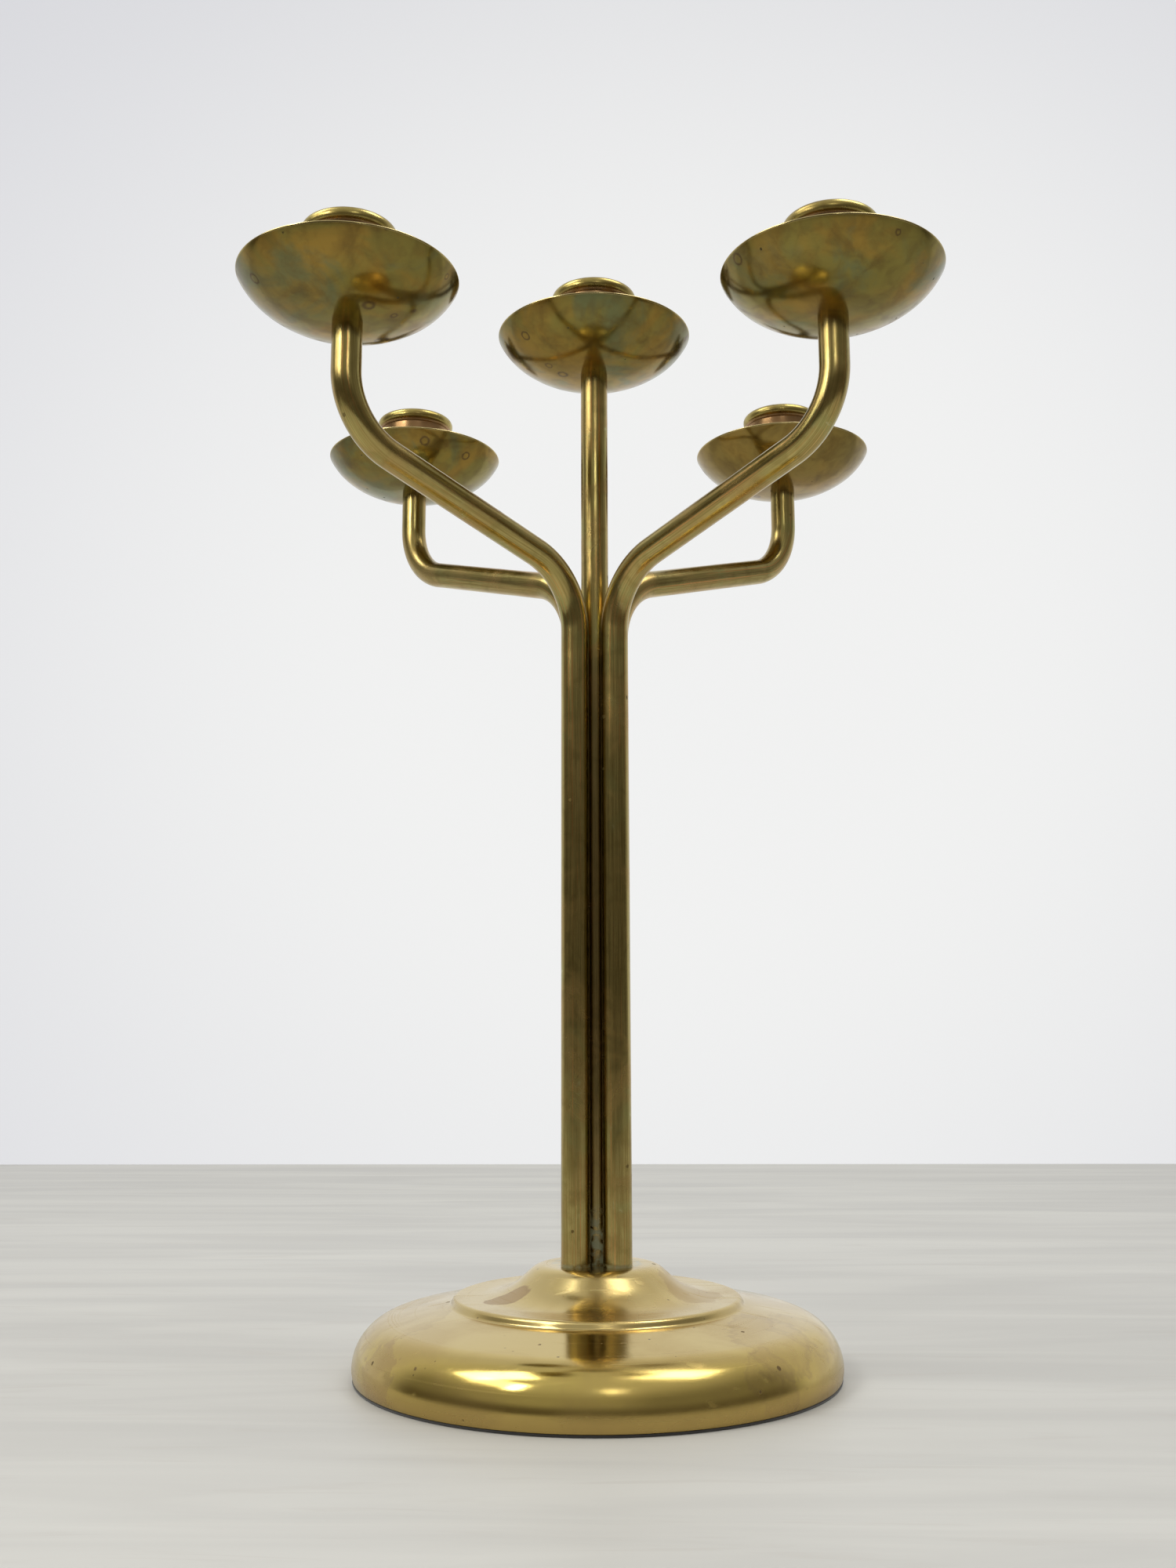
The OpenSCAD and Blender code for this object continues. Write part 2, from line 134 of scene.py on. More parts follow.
base_lo, base_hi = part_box("base_shell")
base_r = (base_hi.x - base_lo.x) / 2
crown_z = base_hi.z
base_foot_z = base_lo.z
sheet_wall = 0.0012
skirt_z = 0.005
skirt_draw = 0.0007
shoulder_r = 0.020
dome_slope = 11
step_r = base_r * 0.598
step_rise = 0.0029
step_edge_r = 0.0022
step_foot_r = 0.0018
riser_turn = 25
crown_slope = 41
crown_edge_r = 0.010
cove_r = 0.027
crown_flat_r = 0.02241
stud_hole_r = 0.00325

# The dome falls outwards from the step to the shoulder.
dome_sin, dome_cos, dome_tan = (turn(radians(dome_slope)) for turn in (sin, cos, tan))
shoulder_x = base_r - shoulder_r
dome_x = shoulder_x + shoulder_r * dome_sin
dome_z = skirt_z + shoulder_r * dome_cos
step_foot_z = dome_z + (dome_x - step_r) * dome_tan
step_z = step_foot_z + step_rise

# The crown is an edge, a straight slope and a cove that runs out on the step.
crown_sin, crown_cos, crown_tan = (turn(radians(crown_slope)) for turn in (sin, cos, tan))
crown_x1 = crown_flat_r + crown_edge_r * crown_sin
crown_z1 = crown_z - crown_edge_r * (1 - crown_cos)
cove_z = step_z + cove_r * (1 - crown_cos)
crown_x2 = crown_x1 + (crown_z1 - cove_z) / crown_tan
cove_x = crown_x2 + cove_r * crown_sin

# The riser under the step's round edge leans out and turns into the dome on a small hollow.
riser_sin, riser_cos = sin(radians(riser_turn)), cos(radians(riser_turn))
foot_x = step_r - step_edge_r * (1 - riser_cos) + step_foot_r * riser_cos
foot_z = step_z - step_edge_r * (1 - riser_sin) + step_foot_r * riser_sin
low_x = foot_x - step_foot_r * dome_sin
low_z = foot_z - step_foot_r * dome_cos
gap = low_z - step_foot_z + (low_x - step_r) * dome_tan
riser = gap / (riser_cos - riser_sin * dome_tan)
foot_x += riser * riser_sin
foot_z -= riser * riser_cos

# The skirt draws in a little towards its foot.
shell_line = (
    [(base_r - skirt_draw, base_foot_z), (base_r - 0.0004, 0.0022), (base_r - 0.0001, 0.0038)]
    + arc(shoulder_x, skirt_z, shoulder_r, 0, 90 - dome_slope, 44)
    + straight((dome_x, dome_z), (foot_x, foot_z - step_foot_r), 16)
    + arc(foot_x, foot_z, step_foot_r, 270 - dome_slope, 180 + riser_turn, 8)
    + arc(step_r - step_edge_r, step_z - step_edge_r, step_edge_r, riser_turn, 90, 10)
    + straight((step_r - step_edge_r, step_z), (cove_x, step_z), 8)
    + arc(cove_x, step_z + cove_r, cove_r, 270, 270 - crown_slope, 16)
    + straight((crown_x2, cove_z), (crown_x1, crown_z1), 8)
    + arc(crown_flat_r, crown_z - crown_edge_r, crown_edge_r, 90 - crown_slope, 90, 12)
    + straight((crown_flat_r, crown_z), (stud_hole_r, crown_z), 10)
    + [(stud_hole_r, crown_z)])
shell = spin_sheet("spun_base_shell", shell_line, (0, 0, 0), 192)
give_wall(shell, sheet_wall, 0.00035)
smooth(shell)
mark_rounds(shell, (0, 0, 0), shell_line)


def new_group(name, inputs, outputs):
    """An empty shader group with named sockets: (name, kind, first value)."""
    kinds = {"vector": "NodeSocketVector", "value": "NodeSocketFloat", "colour": "NodeSocketColor"}
    tree = bpy.data.node_groups.new(name, "ShaderNodeTree")
    for label, kind, value in inputs:
        socket = tree.interface.new_socket(label, in_out="INPUT", socket_type=kinds[kind])
        if value is not None:
            socket.default_value = value
    for label, kind in outputs:
        tree.interface.new_socket(label, in_out="OUTPUT", socket_type=kinds[kind])
    return tree, tree.nodes.new("NodeGroupInput"), tree.nodes.new("NodeGroupOutput")


def add(tree, kind, links=None, **settings):
    """Adds a node; links maps a socket to a value or to another node's output."""
    n = tree.nodes.new(kind)
    for key, value in settings.items():
        setattr(n, key, value)
    for key, value in (links or {}).items():
        socket = n.inputs[key]
        if isinstance(value, bpy.types.NodeSocket):
            tree.links.new(value, socket)
        else:
            socket.default_value = value
    return n


def blend_colour(tree, amount, a, b):
    """Goes from one colour to another as an amount goes from 0 to 1."""
    return add(tree, "ShaderNodeMix", {0: amount, 6: a, 7: b}, data_type="RGBA").outputs[2]


def sum_up(tree, operation, *values):
    """One step of arithmetic on values or on other nodes' outputs."""
    return add(tree, "ShaderNodeMath", dict(enumerate(values)), operation=operation).outputs[0]


def times(tree, a, b):
    """One value or mask times another."""
    return sum_up(tree, "MULTIPLY", a, b)


def tint(tree, colour, mask, strength, over):
    """Lays another colour over a colour where a mask is, at a strength."""
    return blend_colour(tree, times(tree, mask, strength), colour, over)


def build_up(tree, start, *parts):
    """Adds to a value each mask with its share."""
    for mask, share in parts:
        start = sum_up(tree, "ADD", start, times(tree, mask, share))
    return start


def step_mask(tree, value, low, high, to_low=0.0, to_high=1.0):
    """Turns a value into a soft-edged mask between low and high."""
    n = add(tree, "ShaderNodeMapRange", {0: value, 1: low, 2: high, 3: to_low, 4: to_high},
            interpolation_type="SMOOTHSTEP")
    return n.outputs[0]


# Cloudy tarnish: soft patches with ragged edges.
tarnish_clouds, t_in, t_out = new_group(
    "tarnish_clouds",
    [("Vector", "vector", None), ("Scale", "value", 20.0), ("Low", "value", 0.45),
     ("High", "value", 0.65)],
    [("Mask", "value")])
cloud = add(tarnish_clouds, "ShaderNodeTexNoise",
            {"Vector": t_in.outputs["Vector"], "Scale": t_in.outputs["Scale"], "Detail": 5.0,
             "Roughness": 0.55, "Distortion": 0.7})
tarnish_clouds.links.new(
    step_mask(tarnish_clouds, cloud.outputs[0], t_in.outputs["Low"], t_in.outputs["High"]),
    t_out.inputs["Mask"])

# Specks and water spots: sparse round marks of mixed sizes, filled or as rings.
spots, s_in, s_out = new_group(
    "spots",
    [("Vector", "vector", None), ("Scale", "value", 60.0), ("Size", "value", 0.1),
     ("Share", "value", 0.4)],
    [("Specks", "value"), ("Rings", "value")])
wobble = add(spots, "ShaderNodeTexNoise", {"Vector": s_in.outputs["Vector"], "Scale": 900.0,
                                           "Detail": 2.0})
shifted = add(spots, "ShaderNodeVectorMath", {0: wobble.outputs[1], 1: (0.0008,) * 3},
              operation="MULTIPLY")
moved = add(spots, "ShaderNodeVectorMath",
            {0: s_in.outputs["Vector"], 1: shifted.outputs[0]}, operation="ADD")
cell = add(spots, "ShaderNodeTexVoronoi", {"Vector": moved.outputs[0],
                                           "Scale": s_in.outputs["Scale"], "Randomness": 1.0})
pick = add(spots, "ShaderNodeSeparateColor", {0: cell.outputs["Color"]})
chosen = sum_up(spots, "LESS_THAN", pick.outputs[0], s_in.outputs["Share"])
size = times(spots, s_in.outputs["Size"], build_up(spots, 0.2, (pick.outputs[1], 0.8)))
reach_share = sum_up(spots, "DIVIDE", cell.outputs["Distance"], size)
filled = step_mask(spots, reach_share, 0.7, 1.0, 1.0, 0.0)
ring = sum_up(spots, "SUBTRACT", filled, step_mask(spots, reach_share, 0.45, 0.7, 1.0, 0.0))
spots.links.new(times(spots, filled, chosen), s_out.inputs["Specks"])
spots.links.new(times(spots, ring, chosen), s_out.inputs["Rings"])

# A stain: a patch round one place, with a ragged edge, filled or as its outline only.
stain, n_in, n_out = new_group(
    "stain",
    [("Vector", "vector", None), ("Centre", "vector", (0, 0, 0)), ("Radius", "value", 0.01),
     ("Stretch", "vector", (1, 1, 1)), ("Ragged", "value", 0.004)],
    [("Patch", "value"), ("Outline", "value")])
edge = add(stain, "ShaderNodeTexNoise", {"Vector": n_in.outputs["Vector"], "Scale": 150.0,
                                         "Detail": 4.0, "Roughness": 0.6})
offset = add(stain, "ShaderNodeVectorMath",
             {0: n_in.outputs["Vector"], 1: n_in.outputs["Centre"]}, operation="SUBTRACT")
pulled = add(stain, "ShaderNodeVectorMath",
             {0: offset.outputs[0], 1: n_in.outputs["Stretch"]}, operation="MULTIPLY")
away = add(stain, "ShaderNodeVectorMath", {0: pulled.outputs[0]}, operation="LENGTH")
unevenness = sum_up(stain, "SUBTRACT", edge.outputs[0], 0.5)
away = build_up(stain, away.outputs["Value"], (unevenness, n_in.outputs["Ragged"]))
share = sum_up(stain, "DIVIDE", away, n_in.outputs["Radius"])
patch = step_mask(stain, share, 0.85, 1.0, 1.0, 0.0)
stain.links.new(patch, n_out.inputs["Patch"])
stain.links.new(sum_up(stain, "SUBTRACT", patch, step_mask(stain, share, 0.72, 0.86, 1.0, 0.0)),
                n_out.inputs["Outline"])

# Polishing lines: fine scratches that run with the polishing wheel.
polish_lines, p_in, p_out = new_group(
    "polish_lines",
    [("Vector", "vector", None), ("Along", "vector", (2.0, 2.0, 4000.0))],
    [("Lines", "value"), ("Deep", "value")])
stretched = add(polish_lines, "ShaderNodeVectorMath",
                {0: p_in.outputs["Vector"], 1: p_in.outputs["Along"]}, operation="MULTIPLY")
fine = add(polish_lines, "ShaderNodeTexNoise",
           {"Vector": stretched.outputs[0], "Scale": 1.0, "Detail": 4.0, "Roughness": 0.7})
coarse = add(polish_lines, "ShaderNodeTexNoise",
             {"Vector": stretched.outputs[0], "Scale": 0.23, "Detail": 2.0, "Roughness": 0.5})
polish_lines.links.new(fine.outputs[0], p_out.inputs["Lines"])
polish_lines.links.new(step_mask(polish_lines, coarse.outputs[0], 0.62, 0.72),
                       p_out.inputs["Deep"])


def use(tree, group, links):
    """Puts a shader group in a material, with its inputs set or linked."""
    return add(tree, "ShaderNodeGroup", links, node_tree=group)


def clouds_on(tree, where, scale, low, high):
    """One layer of tarnish; a higher low and high leave fewer patches."""
    return use(tree, tarnish_clouds,
               {"Vector": where, "Scale": scale, "Low": low, "High": high}).outputs[0]


def spots_on(tree, where, scale, size, share):
    """The filled marks and the rings of one layer of spots."""
    layer = use(tree, spots, {"Vector": where, "Scale": scale, "Size": size, "Share": share})
    return layer.outputs["Specks"], layer.outputs["Rings"]


def lines_on(tree, where, along):
    """Fine lines, and the deeper ones among them."""
    layer = use(tree, polish_lines, {"Vector": where, "Along": along})
    return layer.outputs["Lines"], layer.outputs["Deep"]


def noise_on(tree, where, scale, detail, distortion=0.0):
    """Plain fine noise, for grain and fibres."""
    links = {"Vector": where, "Scale": scale, "Detail": detail, "Distortion": distortion}
    return add(tree, "ShaderNodeTexNoise", links).outputs[0]


def from_axis(tree, where):
    """How far each place is from the upright axis of the stem."""
    flat = add(tree, "ShaderNodeVectorMath", {0: where, 1: (1, 1, 0)}, operation="MULTIPLY")
    length = add(tree, "ShaderNodeVectorMath", {0: flat.outputs[0]}, operation="LENGTH")
    return length.outputs["Value"]


def start_material(name, **settings):
    """A Principled material, its tree, its shader and its object coordinates."""
    material = bpy.data.materials.new(name)
    material.use_nodes = True
    tree = material.node_tree
    shader = tree.nodes["Principled BSDF"]
    for key, value in settings.items():
        shader.inputs[key.replace("_", " ")].default_value = value
    where = tree.nodes.new("ShaderNodeTexCoord").outputs["Object"]
    return material, tree, shader, where


def set_look(tree, shader, colour, rough):
    """Feeds a finished colour and roughness to a material's shader."""
    tree.links.new(colour, shader.inputs["Base Color"])
    tree.links.new(rough, shader.inputs["Roughness"])


def give_bump(tree, shader, height, strength, distance):
    """Lets a height move the light on a surface by at most a distance."""
    bump = add(tree, "ShaderNodeBump",
               {"Strength": strength, "Distance": distance, "Height": height})
    tree.links.new(bump.outputs[0], shader.inputs["Normal"])


def dress(piece, material):
    """Gives a piece one material all over."""
    piece.data.materials.clear()
    piece.data.materials.append(material)


base_brass, tree, shader, where = start_material("polished_base_brass", Metallic=1.0)
polished = (0.62, 0.47, 0.135, 1)
wall_reflection_cream = (0.63, 0.49, 0.205, 1)
handled = (0.50, 0.355, 0.125, 1)
floor_shade_reflection_gold = (0.40, 0.27, 0.10, 1)
pink_brown = (0.37, 0.235, 0.125, 1)
outline_brown = (0.30, 0.20, 0.10, 1)
dark_brown = (0.14, 0.09, 0.045, 1)
grey_green = (0.40, 0.42, 0.33, 1)
rounds = add(tree, "ShaderNodeAttribute", attribute_name="rounds").outputs["Vector"]
height = add(tree, "ShaderNodeSeparateXYZ", {0: where}).outputs[2]
clouds = clouds_on(tree, where, 24.0, 0.40, 0.66)
broad = clouds_on(tree, where, 9.0, 0.40, 0.66)
low_band = step_mask(tree, height, 0.0120, 0.0035)
# Painted reflection: higher up, the dome and crown are tinted a paler cream where they mirror the
# bright wall.
colour = blend_colour(tree, step_mask(tree, height, 0.0195, 0.0265), polished, wall_reflection_cream)
colour = tint(tree, colour, clouds, 0.55, handled)
# Painted shade: the skirt is darkened towards its foot, where it mirrors the shaded floor.
colour = tint(tree, colour, low_band, 0.6, floor_shade_reflection_gold)

# A stain has a middle, a radius, a stretch, a raggedness, and a strength inside and at its edge.
stains = [((-0.0375, -0.0195, 0.0337), 0.0098, (0.85, 1.25, 1.0), 0.007, 0.62, 0.20),
          ((0.0400, -0.0060, 0.0360), 0.0150, (1.0, 0.8, 1.0), 0.020, 0.30, 0.0),
          ((0.0700, -0.0500, 0.0240), 0.0240, (1.3, 0.8, 1.0), 0.026, 0.12, 0.20),
          ((0.0840, -0.0300, 0.0230), 0.0190, (1.2, 0.9, 1.0), 0.024, 0.08, 0.16),
          ((0.0690, -0.0760, 0.0150), 0.0130, (1.0, 1.0, 0.7), 0.018, 0.12, 0.14),
          ((-0.0870, -0.0570, 0.0120), 0.0120, (1.0, 0.8, 0.8), 0.024, 0.30, 0.0),
          ((-0.0800, -0.0200, 0.0250), 0.0200, (1.0, 0.6, 1.0), 0.024, 0.10, 0.10),
          ((0.0300, 0.0700, 0.0260), 0.0220, (0.8, 1.2, 1.0), 0.022, 0.14, 0.16)]
dull = 0.0
for middle, radius, stretch, ragged, inside, at_edge in stains:
    mark = use(tree, stain, {"Vector": where, "Centre": middle, "Radius": radius,
                             "Stretch": stretch, "Ragged": ragged})
    stained = times(tree, mark.outputs["Patch"], inside)
    colour = blend_colour(tree, stained, colour, pink_brown)
    if at_edge:
        colour = tint(tree, colour, mark.outputs["Outline"], at_edge, outline_brown)
    dull = sum_up(tree, "MAXIMUM", dull, stained)
specks, _ = spots_on(tree, where, 85.0, 0.11, 0.55)
colour = tint(tree, colour, specks, 0.8, dark_brown)
fine_specks, _ = spots_on(tree, where, 230.0, 0.15, 0.30)
colour = tint(tree, colour, fine_specks, 0.7, dark_brown)

# Old polish dried round the feet of the tubes.
foot_ring = step_mask(tree, from_axis(tree, where), 0.0215, 0.0175)
residue = times(tree, foot_ring, clouds_on(tree, where, 260.0, 0.40, 0.60))
residue = times(tree, residue, step_mask(tree, height, 0.0440, 0.0450))
colour = tint(tree, colour, residue, 0.75, grey_green)

worn = step_mask(tree, height, 0.0275, 0.0330)
wheel, deep_wheel = lines_on(tree, rounds, (3.0, 3.0, 5200.0))
hairs, deep_hairs = lines_on(tree, where, (40.0, 900.0, 900.0))
rough = build_up(tree, 0.085, (clouds, 0.09), (broad, 0.05), (low_band, 0.10), (worn, 0.11),
                 (deep_wheel, 0.10), (deep_hairs, 0.12), (dull, 0.25), (specks, 0.4))
set_look(tree, shader, colour, rough)
give_bump(tree, shader, build_up(tree, wheel, (hairs, 0.6)), 0.09, 0.0001)
dress(shell, base_brass)
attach(shell, "root")
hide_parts("base_shell")


# ---------------------------------------------------------------------------------------------
# The felt. A disc of black wool felt 1 mm thick, cut a little smaller than the base and glued to
# its steel cover, so that only its dark edge shows under the skirt.
# ---------------------------------------------------------------------------------------------
felt_lo, felt_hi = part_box("felt_pad")
felt_r = (felt_hi.x - felt_lo.x) / 2
felt_edge_r = 0.0005
pin_r = 0.0005
flat_r = felt_r - felt_edge_r
felt_line = (
    [(pin_r, felt_hi.z)] + straight((pin_r, felt_hi.z), (flat_r, felt_hi.z), 20)
    + arc(flat_r, felt_hi.z - felt_edge_r, felt_edge_r, 90, -90, 8)
    + straight((flat_r, 0), (pin_r, 0), 20) + [(pin_r, 0)])
felt = spin_sheet("felt_disc", felt_line, (0, 0, 0), 160)
bpy.ops.object.mode_set(mode="EDIT")
bpy.ops.mesh.select_all(action="DESELECT")
bpy.ops.mesh.select_non_manifold()
bpy.ops.mesh.edge_face_add()
bpy.ops.mesh.select_all(action="SELECT")
bpy.ops.mesh.normals_make_consistent(inside=False)
bpy.ops.object.mode_set(mode="OBJECT")
smooth(felt, 60)
felt_wool, tree, shader, where = start_material(
    "black_felt", Sheen_Weight=0.4, Sheen_Roughness=0.6)
fibres = noise_on(tree, where, 2600.0, 3.0, 1.5)
colour = blend_colour(tree, fibres, (0.006, 0.006, 0.006, 1), (0.035, 0.032, 0.030, 1))
set_look(tree, shader, colour, build_up(tree, 0.82, (fibres, 0.15)))
give_bump(tree, shader, fibres, 0.6, 0.0002)
dress(felt, felt_wool)
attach(felt, "root")
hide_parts("felt_pad")


# ---------------------------------------------------------------------------------------------
# The weight and its fixings. A cast iron weight fills the base over a zinc plated cover and three
# screws; a plate, a stud, a washer and a nut clamp the tubes down on the crown. All of it is
# hidden, so the solids stay and get their own finishes.
# ---------------------------------------------------------------------------------------------
def finish_node(name, material):
    """Gives a kept solid its own finish."""
    for slot in node[name].material_slots:
        slot.material = material


cast_iron, tree, shader, where = start_material("cast_iron", Metallic=0.85)
sand = noise_on(tree, where, 900.0, 6.0)
rust = clouds_on(tree, where, 45.0, 0.52, 0.72)
colour = blend_colour(tree, sand, (0.035, 0.036, 0.038, 1), (0.10, 0.10, 0.10, 1))
colour = blend_colour(tree, rust, colour, (0.16, 0.065, 0.03, 1))
set_look(tree, shader, colour, build_up(tree, 0.5, (sand, 0.3)))
give_bump(tree, shader, sand, 0.5, 0.0003)
finish_node("ballast", cast_iron)

zinc_plate, tree, shader, where = start_material("zinc_plated_steel", Metallic=1.0)
flakes = add(tree, "ShaderNodeTexVoronoi", {"Vector": where, "Scale": 160.0}).outputs["Distance"]
scuffs = clouds_on(tree, where, 70.0, 0.4, 0.7)
colour = blend_colour(tree, flakes, (0.50, 0.52, 0.54, 1), (0.62, 0.63, 0.64, 1))
colour = blend_colour(tree, scuffs, colour, (0.40, 0.40, 0.40, 1))
set_look(tree, shader, colour, build_up(tree, 0.32, (scuffs, 0.2)))
for name in ("base_cover", "clamp_plate"):
    finish_node(name, zinc_plate)

steel_screw, tree, shader, where = start_material("screw_steel", Metallic=1.0)
turning = noise_on(tree, where, 1500.0, 2.0)
grime = clouds_on(tree, where, 220.0, 0.45, 0.7)
colour = blend_colour(tree, grime, (0.56, 0.55, 0.53, 1), (0.22, 0.19, 0.16, 1))
set_look(tree, shader, colour, build_up(tree, 0.2, (turning, 0.25)))
for name in ("cover_screws", "stem_stud", "stud_washer", "stud_nut", "cup_screws"):
    finish_node(name, steel_screw)


# ---------------------------------------------------------------------------------------------
# The five tubes. Each is drawn brass tube of 12.7 mm with a 1 mm wall. The centre one is straight;
# each arm is bent outwards above the bundle and upright again below its pan. Lacquer long gone,
# they are olive with streaks along their length and small nicks; copper streaks are a painted
# reflection of warm glints, painted shade runs down the grooves, and green dirt sits low in them.
# ---------------------------------------------------------------------------------------------
centre_lo, centre_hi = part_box("centre_tube")
tube_r = (centre_hi.x - centre_lo.x) / 2
tube_wall = 0.001
tube_gap = 0.00006
bundle_r = tube_r * 2 + tube_gap
bend_start_z = 0.326952
bend_low_r = 0.034
bend_top_r = 0.032
slope_out, slope_up = 0.96, 0.28
bend_turn = acos(slope_up)
slope_length = 0.0846
bend_end_z = 0.414
arm_turns = {"front_right": -45, "back_right": 45, "back_left": 135, "front_left": -135}
pan_seat_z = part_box("arm_front_right")[1].z
arm_reach = (bundle_r + (bend_low_r + bend_top_r) * (1 - slope_up)
             + slope_length * slope_out)


def pull_ring(step, count):
    """Extrudes the selected ring along a step a number of times."""
    for _ in range(count):
        bpy.ops.mesh.extrude_region_move(TRANSFORM_OT_translate={"value": tuple(step)})


def start_tube(name, at):
    """A ring at the foot of a tube, ready to be drawn upwards in edit mode."""
    bpy.ops.object.select_all(action="DESELECT")
    bpy.ops.mesh.primitive_circle_add(vertices=72, radius=tube_r, fill_type="NOTHING", location=at)
    tube = bpy.context.object
    tube.name = tube.data.name = name
    bpy.ops.object.mode_set(mode="EDIT")
    bpy.ops.mesh.select_all(action="SELECT")
    return tube


def close_tube(tube, centreline):
    """Ends the modelling, marks the drawn grain along the tube, and gives the wall."""
    bpy.ops.mesh.select_all(action="SELECT")
    bpy.ops.mesh.remove_doubles(threshold=0.000004)
    bpy.ops.mesh.normals_make_consistent(inside=False)
    bpy.ops.object.mode_set(mode="OBJECT")
    bpy.ops.object.transform_apply(location=True, rotation=True, scale=True)
    give_wall(tube, tube_wall, 0)
    smooth(tube)
    line = np.array(centreline)
    ahead = np.gradient(line, axis=0)
    ahead /= np.linalg.norm(ahead, axis=1)[:, None]
    along = np.concatenate([[0], np.cumsum(np.linalg.norm(np.diff(line, axis=0), axis=1))])
    out = line[-1] - line[0]
    bent = np.hypot(out[0], out[1]) > 0.01
    side = np.array([-out[1], out[0], 0]) if bent else np.array([0, 1, 0])
    side = side / np.linalg.norm(side)
    co = np.array([v.co for v in tube.data.vertices])
    near = ((co[:, None] - line[None]) ** 2).sum(2).argmin(1)
    off = co - line[near]
    up = np.cross(ahead[near], side)
    store(tube, "grain", np.column_stack([(off * up).sum(1) / tube_r, off @ side / tube_r,
                                          along[near] + (off * ahead[near]).sum(1)]))


def bend(out, side, turn, r, z, sign):
    """Spins the selected ring round a bend whose centre is at a reach and height."""
    bpy.ops.mesh.spin(steps=30, angle=turn * sign, center=(*(out * r)[:2], z), axis=tuple(side))


def on_bend(pivot, out, r, turn):
    """A point on a bend of the centreline, turned up from the level through its pivot."""
    return pivot + out * (r * cos(turn)) + Vector((0, 0, r * sin(turn)))


up = Vector((0, 0, 1))
tubes = []
tube = start_tube("tube_centre", (0, 0, centre_lo.z))
pull_ring(up * (centre_hi.z - centre_lo.z) / 60, 60)
close_tube(tube, [(0, 0, centre_lo.z + (centre_hi.z - centre_lo.z) * i / 400) for i in range(401)])
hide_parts("centre_tube")
tubes.append(tube)

for place_name, turn in arm_turns.items():
    out = Vector((cos(radians(turn)), sin(radians(turn)), 0))
    side = up.cross(out)
    foot = out * bundle_r + up * crown_z
    slope = out * slope_out + up * slope_up
    tube = start_tube("arm_" + place_name + "_tube", foot)
    pull_ring(up * (bend_start_z - crown_z) / 36, 36)
    bend(out, side, bend_turn, bundle_r + bend_low_r, bend_start_z, -1)
    pull_ring(slope * slope_length / 12, 12)
    bend(out, side, bend_turn, arm_reach - bend_top_r, bend_end_z, 1)
    pull_ring(up * (pan_seat_z - bend_end_z) / 4, 4)

    low = out * (bundle_r + bend_low_r) + up * bend_start_z
    top = out * (arm_reach - bend_top_r) + up * bend_end_z
    rise = on_bend(low, -out, bend_low_r, bend_turn)
    line = [foot + up * ((bend_start_z - crown_z) * i / 280) for i in range(280)]
    line += [on_bend(low, -out, bend_low_r, bend_turn * i / 60) for i in range(60)]
    line += [rise + slope * slope_length * i / 85 for i in range(85)]
    line += [on_bend(top, out, bend_top_r, bend_turn * (i / 60 - 1)) for i in range(60)]
    line += [top + out * bend_top_r + up * ((pan_seat_z - bend_end_z) * i / 20)
             for i in range(21)]
    close_tube(tube, line)
    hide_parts("arm_" + place_name)
    tubes.append(tube)

tube_brass, tree, shader, where = start_material("tube_brass", Metallic=1.0)
olive = (0.52, 0.430, 0.160, 1)
dark_olive = (0.29, 0.225, 0.070, 1)
green_olive = (0.36, 0.345, 0.125, 1)
brown_olive = (0.42, 0.275, 0.095, 1)
warm_glint_copper = (0.80, 0.36, 0.12, 1)
scuff_gold = (0.60, 0.56, 0.30, 1)
nick_brown = (0.12, 0.08, 0.03, 1)
groove_shade_brown = (0.17, 0.115, 0.06, 1)
verdigris = (0.44, 0.47, 0.33, 1)
grain = add(tree, "ShaderNodeAttribute", attribute_name="grain").outputs["Vector"]
height = add(tree, "ShaderNodeSeparateXYZ", {0: where}).outputs[2]
streak, _ = lines_on(tree, grain, (14.0, 14.0, 26.0))
glint_streak, _ = lines_on(tree, grain, (8.0, 8.0, 5.0))
clouds = clouds_on(tree, where, 42.0, 0.38, 0.66)
greens = clouds_on(tree, where, 48.0, 0.52, 0.70)
colour = blend_colour(tree, step_mask(tree, streak, 0.35, 0.65), olive, dark_olive)
colour = tint(tree, colour, clouds, 0.6, brown_olive)
colour = tint(tree, colour, clouds_on(tree, where, 120.0, 0.50, 0.68), 0.5, dark_olive)
colour = tint(tree, colour, greens, 0.55, green_olive)
# Painted reflection: long copper streaks along the tubes stand in for the warm glints they mirror.
colour = tint(tree, colour, step_mask(tree, glint_streak, 0.58, 0.65), 0.75, warm_glint_copper)
scuffed = times(tree, clouds_on(tree, where, 310.0, 0.58, 0.72), greens)
colour = tint(tree, colour, scuffed, 0.7, scuff_gold)
nicks, _ = spots_on(tree, where, 90.0, 0.10, 0.6)
colour = tint(tree, colour, nicks, 0.6, nick_brown)

# Painted shade all the way down the grooves between the tubes, with green dirt near the base and
# round the feet.
groove = step_mask(tree, from_axis(tree, where), 0.0105, 0.0070)
below_bends = step_mask(tree, height, bend_start_z, bend_start_z - 0.02)
colour = tint(tree, colour, times(tree, groove, below_bends), 0.45, groove_shade_brown)
near_base = step_mask(tree, height, crown_z + 0.030, crown_z + 0.008)
at_feet = step_mask(tree, height, crown_z + 0.0018, crown_z + 0.0006)
green_dirt = sum_up(tree, "MAXIMUM", times(tree, groove, near_base), times(tree, at_feet, 0.55))
green_dirt = times(tree, green_dirt, clouds_on(tree, where, 240.0, 0.36, 0.58))
colour = blend_colour(tree, green_dirt, colour, verdigris)
tree.links.new(build_up(tree, 1.0, (green_dirt, -0.8)), shader.inputs["Metallic"])
rough = build_up(tree, 0.16, (clouds, 0.12), (nicks, 0.3), (green_dirt, 0.4))
set_look(tree, shader, colour, rough)
drawn, _ = lines_on(tree, grain, (60.0, 60.0, 12.0))
give_bump(tree, shader, drawn, 0.10, 0.0002)
for tube in tubes:
    dress(tube, tube_brass)
    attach(tube, "root")


